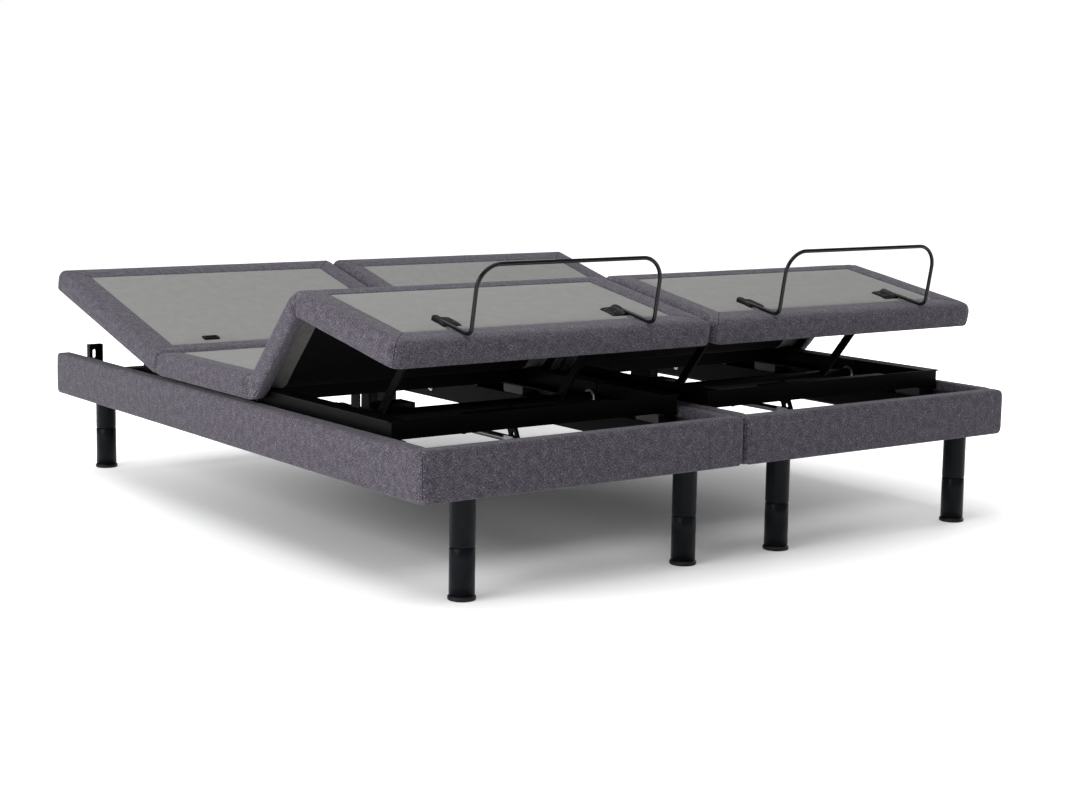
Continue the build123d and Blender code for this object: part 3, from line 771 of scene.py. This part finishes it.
def cover_stations(start, end):
    """Stations of the rings between two places, closer at seams, folds and rounded ends."""
    wanted = {start, end}
    for seam in [edge for pair in felt_runs for edge in pair]:
        wanted |= {seam + shift for shift in (-0.014, -0.006, -0.0028, 0, 0.0028, 0.006, 0.014)}
    for fold, reach, step in ((fold_at[0], 0.024, 0.003), (fold_at[1], 0.030, 0.003),
                              (fold_at[2], 0.054, 0.0036)):
        count = round(reach / step)
        wanted |= {fold + step * i for i in range(-count, count + 1)}
    for gap in (0, 0.0008, 0.003, 0.006, 0.010, 0.014, 0.018, 0.022, 0.028, 0.035, 0.045):
        wanted |= {gap, cover_length - gap}
    kept = []
    for station in sorted(place for place in wanted if start - 1e-9 <= place <= end + 1e-9):
        if kept and station - kept[-1] < 0.0006:
            continue
        kept.append(station)
    if end - kept[-1] > 1e-9:
        kept[-1] = end
    filled = []
    for near, far in zip(kept, kept[1:]):
        parts = max(1, round((far - near) / 0.022))
        filled += [near + (far - near) * i / parts for i in range(parts)]
    return filled + [kept[-1]]


def end_faces():
    """Index picks that close a ring: upright strips between top and underside columns."""
    width = len(columns)
    top = list(range(side_points, side_points + width))
    right = list(range(side_points + width, 2 * side_points + width))
    under = list(range(2 * side_points + width, 2 * side_points + 2 * width))
    picks = [[top[i], top[i + 1], under[width - 2 - i], under[width - 1 - i]] for i in range(width - 1)]
    picks.append(list(range(side_points)) + [top[0], under[-1]])
    picks.append([top[-1]] + right + [under[0]])
    return picks


def make_cover(name, unit, centre, start, end, replaced):
    """Cover between two stations, with felt, heather, grey lining and a black lining whose near-black colour
    is also painted shade, each where it belongs.
    """
    rings, texture, marks = [], [], []
    for station in cover_stations(start, end):
        end_gap = min(station, cover_length - station)
        hollows = (end_gap > end_hem,)
        if abs(end_gap - end_hem) < 1e-6:
            hollows = (False, True) if station < 1 else (True, False)
        for hollow in hollows:
            ring, spots = cover_ring(centre, station, hollow)
            rings.append(ring)
            texture.append(spots)
            marks.append(station)
    width = len(columns)
    first_under = 2 * side_points + width

    def finish(row, step):
        if row == -1 or row >= len(marks) - 1:
            return 0
        if side_points <= step < side_points + width - 1:
            middle = (columns[step - side_points] + columns[step - side_points + 1]) / 2
            return 1 if felt_gap(middle, (marks[row] + marks[row + 1]) / 2)[1] else 0
        # Underside strips: black lining, which also paints the shade under the deck, at the edges and middle,
        # and grey lining between.
        if step >= first_under + 1 and step < first_under + width - 2:
            inset = min(step - first_under, first_under + width - 2 - step)
            return 3 if inset <= 1 else 2 if inset <= 5 else 3
        return 0

    cover = skin(name, rings, texture, [heather, felt, grey_lining, black_lining_painted_shade], finish,
                 close=end_faces())
    mesh = cover.data
    count = len(rings[0])
    total = count * len(rings)
    inner_ends = []
    if start > 0.001:
        inner_ends.append(range(count))
    if end < cover_length - 0.001:
        inner_ends.append(range(total - count, total))
    rims = {number for rim in inner_ends for number in rim}
    for edge in mesh.edges:
        if edge.vertices[0] in rims and edge.vertices[1] in rims:
            edge.use_edge_sharp = True
    settle_padding(cover, marks, padding_cap)
    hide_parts(*replaced)
    return cover


def settle_padding(cover, marks, cap):
    """Let air pressure round the padding out between its seams, by no more than the cap."""
    mesh = cover.data
    before = [vert.co.copy() for vert in mesh.vertices]
    held = []
    count = 2 * (side_points + len(columns))
    for number in range(len(before)):
        step = number % count
        on_top = side_points + 1 <= step < side_points + len(columns) - 1
        station = marks[number // count]
        x = columns[step - side_points] if on_top else 0.0
        near_end = min(abs(station - marks[0]), abs(station - marks[-1])) < 0.004
        near_fold = min(abs(station - fold) for fold in fold_at) < 0.030
        if not on_top or near_end or near_fold or felt_gap(x, station)[0] < 0.0036:
            held.append(number)
    cover.vertex_groups.new(name="sewn").add(held, 1.0, "REPLACE")
    air = cover.modifiers.new("air", "CLOTH")
    air.settings.quality = 4
    air.settings.mass = 0.3
    air.settings.use_pressure = True
    air.settings.uniform_pressure_force = 4
    air.settings.effector_weights.gravity = 0
    air.settings.vertex_group_mass = "sewn"
    air.collision_settings.use_collision = False
    air.point_cache.frame_start = 1
    air.point_cache.frame_end = 20
    for number in range(1, 21):
        bpy.context.scene.frame_set(number)
    shaped = cover.evaluated_get(bpy.context.evaluated_depsgraph_get())
    after = [vert.co.copy() for vert in shaped.data.vertices]
    cover.modifiers.remove(air)
    cover.vertex_groups.clear()
    bpy.context.scene.frame_set(1)
    for vert, old, new in zip(mesh.vertices, before, after):
        move = new - old
        if move.length > cap:
            move = move.normalized() * cap
        vert.co = old + move
    mesh.update()


def on_cover(centre, x, station, down):
    """Point of the bare cover shape at a station, down from its top."""
    point, normal = on_path(station)
    return Vector((centre + x, 0, 0)) + point - normal * down


def seam_line(name, cover, points, body, radius=0.0008):
    """Sunk seam: a thin sewn cord laid exactly on a cover through the points."""
    line = bpy.data.curves.new(name, "CURVE")
    line.dimensions = "3D"
    line.bevel_depth = radius
    line.bevel_resolution = 2
    line.use_fill_caps = True
    laid = []
    for start, end in zip(points, points[1:]):
        steps = max(2, round((end - start).length / 0.004))
        laid += [start.lerp(end, i / steps) for i in range(steps)]
    laid.append(points[-1])
    spline = line.splines.new("POLY")
    spline.points.add(len(laid) - 1)
    for knot, point in zip(spline.points, laid):
        _, spot, normal, _ = cover.closest_point_on_mesh(point)
        knot.co = (*(spot - normal * radius * 0.25), 1)
    line.materials.append(seam_thread)
    piece = bpy.data.objects.new(name, line)
    bpy.context.collection.objects.link(piece)
    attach(piece, body)
    return piece


def stitch_row(name, cover, points, body, pitch=0.008, length=0.0052, radius=0.00045):
    """Row of lock stitches laid on a cover round a closed line of points."""
    row = bmesh.new()
    corners_here = points + [points[0]]
    for start, end in zip(corners_here, corners_here[1:]):
        count = max(1, round((end - start).length / pitch))
        for number in range(count):
            middle = start.lerp(end, (number + 0.5) / count)
            _, spot, normal, _ = cover.closest_point_on_mesh(middle)
            turned(row, ((radius * 0.4, -length / 2), (radius, -length / 4), (radius, length / 4),
                         (radius * 0.4, length / 2)), spot + normal * radius * 0.3, end - start, segments=5)
    return new_piece(name, row, [stitch_thread], body)


stitch_thread = speckled("stitch_thread", (0.05, 0.045, 0.055), (0.11, 0.10, 0.12), 500, (0.7, 0.9),
                         2000, 0.0001, shine=0.3)
seam_thread = speckled("seam_thread", (0.010, 0.009, 0.012), (0.030, 0.027, 0.034), 600, (0.85, 0.95),
                       2200, 0.0003, shine=0.15)
corner_fall = ((0.450, 0.024, 0), (0.460, 0.013, 0.006), (0.465, 0.007, 0.018), (0.4662, 0.0062, 0.038),
               (0.4655, 0.0068, 0.0585))
foot_corner_path = ((0.396, 0.082, 0), (0.424, 0.052, 0)) + corner_fall
head_corner_path = ((0.396, 0.079, 0), (0.424, 0.050, 0)) + corner_fall
stitch_margin = 0.005
padding_cap = 0.003
knee_reach = 0.062
mid_seat = (fold_at[0] + fold_at[1]) / 2
mid_thigh = (fold_at[1] + fold_at[2]) / 2 - 0.012
for unit, centre in unit_centres.items():
    back = make_cover(f"{unit}_back_cover", unit, centre, 0.0, mid_seat, [f"{unit}_head_cover"])
    seat = make_cover(f"{unit}_seat_cover_fold", unit, centre, mid_seat, mid_thigh,
                      [f"{unit}_seat_cover", f"{unit}_thigh_cover"])
    legs = make_cover(f"{unit}_leg_cover", unit, centre, mid_thigh, cover_length, [f"{unit}_foot_cover"])
    for side, place in ((-1, "near"), (1, "far")):
        foot_corner = [on_cover(centre, side * x, cover_length - gap, down)
                       for x, gap, down in foot_corner_path]
        seam_line(f"{unit}_foot_corner_seam_{place}", legs, foot_corner, f"{unit}_foot_panel")
        head_corner = [on_cover(centre, side * x, gap, down) for x, gap, down in head_corner_path]
        seam_line(f"{unit}_head_corner_seam_{place}", back, head_corner, f"{unit}_head_panel")
    for part, cover, (start, end) in (("head", back, felt_runs[0]), ("foot", legs, felt_runs[3])):
        low, high, out = start - stitch_margin, end + stitch_margin, felt_half + stitch_margin
        edge = [on_cover(centre, x, station, 0)
                for x, station in ((-out, low), (out, low), (out, high), (-out, high))]
        stitch_row(f"{unit}_{part}_felt_stitches", cover, edge, f"{unit}_{part}_panel")
    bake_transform(back)
    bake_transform(seat)
    on_path(fold_at[2] - knee_reach)[0]
    on_path(fold_at[2] + knee_reach)[0]
    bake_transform(legs)


# ---------------------------------------------------------------- mattress retainers
# A bent round bar in glossy black enamel stands across the foot of each base. Its feet
# lie along the deck and end in black plastic clamps screwed through the felt.

bar_enamel = speckled("bar_enamel", (0.003, 0.003, 0.0035), (0.006, 0.006, 0.007), 30, (0.12, 0.20),
                      500, 0.00005, shine=0.22)
clamp_plastic = speckled("clamp_plastic", (0.003, 0.003, 0.0035), (0.007, 0.007, 0.008), 40, (0.4, 0.55),
                         900, 0.0002, shine=0.15)
black_screw = speckled("black_screw", (0.006, 0.006, 0.006), (0.02, 0.02, 0.02), 400, (0.3, 0.45),
                       900, 0.0001, shine=0.4)
foot_top = knee_hinge + uphill(100.2) * panel_depth
foot_frame = Matrix((Vector((1, 0, 0)), uphill(10.2), uphill(100.2))).transposed()


def on_foot_panel(centre, x, along, up):
    """Point in the foot panel's own directions."""
    return Vector((centre, 0, 0)) + foot_top + foot_frame @ Vector((x, along, up))


for unit, centre in unit_centres.items():
    coat(bar_enamel, f"{unit}_retainer_bar")
    clamps = bmesh.new()
    for face in (-1, 1):
        rings = []
        for along, rise, inset in ((-0.3450, 0.0040, 0.0016), (-0.3442, 0.0062, 0.0004), (-0.3350, 0.0100, 0),
                                   (-0.3200, 0.0128, 0), (-0.3050, 0.0142, 0), (-0.2925, 0.0146, 0),
                                   (-0.2912, 0.0132, 0.0006)):
            outer, inner = face * (0.277 - inset), face * (0.225 + inset)
            saddle = face * 0.270
            ring = [(outer, 0.0), (outer, rise * 0.75), (saddle + face * 0.004, rise)]
            ring += [(saddle - face * 0.007, rise), (saddle - face * 0.013, rise * 0.62)]
            ring += [(inner + face * 0.006, rise * 0.52), (inner, rise * 0.36), (inner, 0.0)]
            rings.append([clamps.verts.new(on_foot_panel(centre, x, along, up + 0.0008)) for x, up in ring])
        for near, far in zip(rings, rings[1:]):
            for step in range(8):
                after = (step + 1) % 8
                clamps.faces.new((near[step], near[after], far[after], far[step]))
        clamps.faces.new(rings[0])
        clamps.faces.new(rings[-1])
    bmesh.ops.bevel(clamps, geom=list(clamps.edges), offset=0.0006, segments=2, affect="EDGES",
                    clamp_overlap=True)
    for face in (-1, 1):
        for along in (-0.333, -0.304):
            turned(clamps, ((0.0040, 0), (0.0040, 0.0007), (0.0030, 0.0016), (0.0010, 0.0019)),
                   on_foot_panel(centre, face * 0.240, along, 0.0072), uphill(100.2), segments=20, material=1)
    piece = new_piece(f"{unit}_bar_clamps", clamps, [clamp_plastic, black_screw],
                      f"{unit}_foot_panel")
    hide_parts(f"{unit}_retainer_plates")


# ---------------------------------------------------------------- rail corner seams
# At each foot corner the two rail covers are joined by an upright sewn seam.

for unit, centre in unit_centres.items():
    cover = bpy.data.objects[f"{unit}_foot_rail_cover"]
    for side, name in ((-1, "near"), (1, "far")):
        upright = [Vector((centre + side * 0.4712, -1.0105, z)) for z in (0.252, 0.27, 0.30, 0.33, 0.342)]
        seam_line(f"{unit}_rail_seam_{name}", cover, upright, "base", radius=0.0007)


# ---------------------------------------------------------------- strap clips
# A small moulded clip near the foot of each back panel, screwed through the felt,
# which takes the strap of a mattress.

for unit, centre in unit_centres.items():
    clip = bmesh.new()
    point, normal = on_path(0.622)
    along = uphill(15)
    for low, high, half_x, half_y in ((0.0020, 0.0072, 0.024, 0.0105), (0.0070, 0.0098, 0.017, 0.0030)):
        corners_3d = [(x, y, z) for z in (low, high) for x, y in ((-half_x, -half_y), (half_x, -half_y),
                                                                  (half_x, half_y), (-half_x, half_y))]
        verts = [clip.verts.new(Vector((centre - 0.266 + x, 0, 0)) + point + along * y + normal * z)
                 for x, y, z in corners_3d]
        for pick in ((0, 1, 2, 3), (4, 5, 6, 7), (0, 1, 5, 4), (1, 2, 6, 5), (2, 3, 7, 6), (3, 0, 4, 7)):
            clip.faces.new([verts[i] for i in pick])
    bmesh.ops.bevel(clip, geom=list(clip.edges), offset=0.0012, segments=3, affect="EDGES",
                    clamp_overlap=True)
    for x in (-0.0205, 0.0205):
        turned(clip, ((0.0026, 0), (0.0026, 0.0004), (0.0018, 0.0010), (0.0006, 0.0012)),
               Vector((centre - 0.266 + x, 0, 0)) + point + normal * 0.0072, normal, segments=16, material=1)
    new_piece(f"{unit}_strap_clip", clip, [clamp_plastic, black_screw], f"{unit}_head_panel")
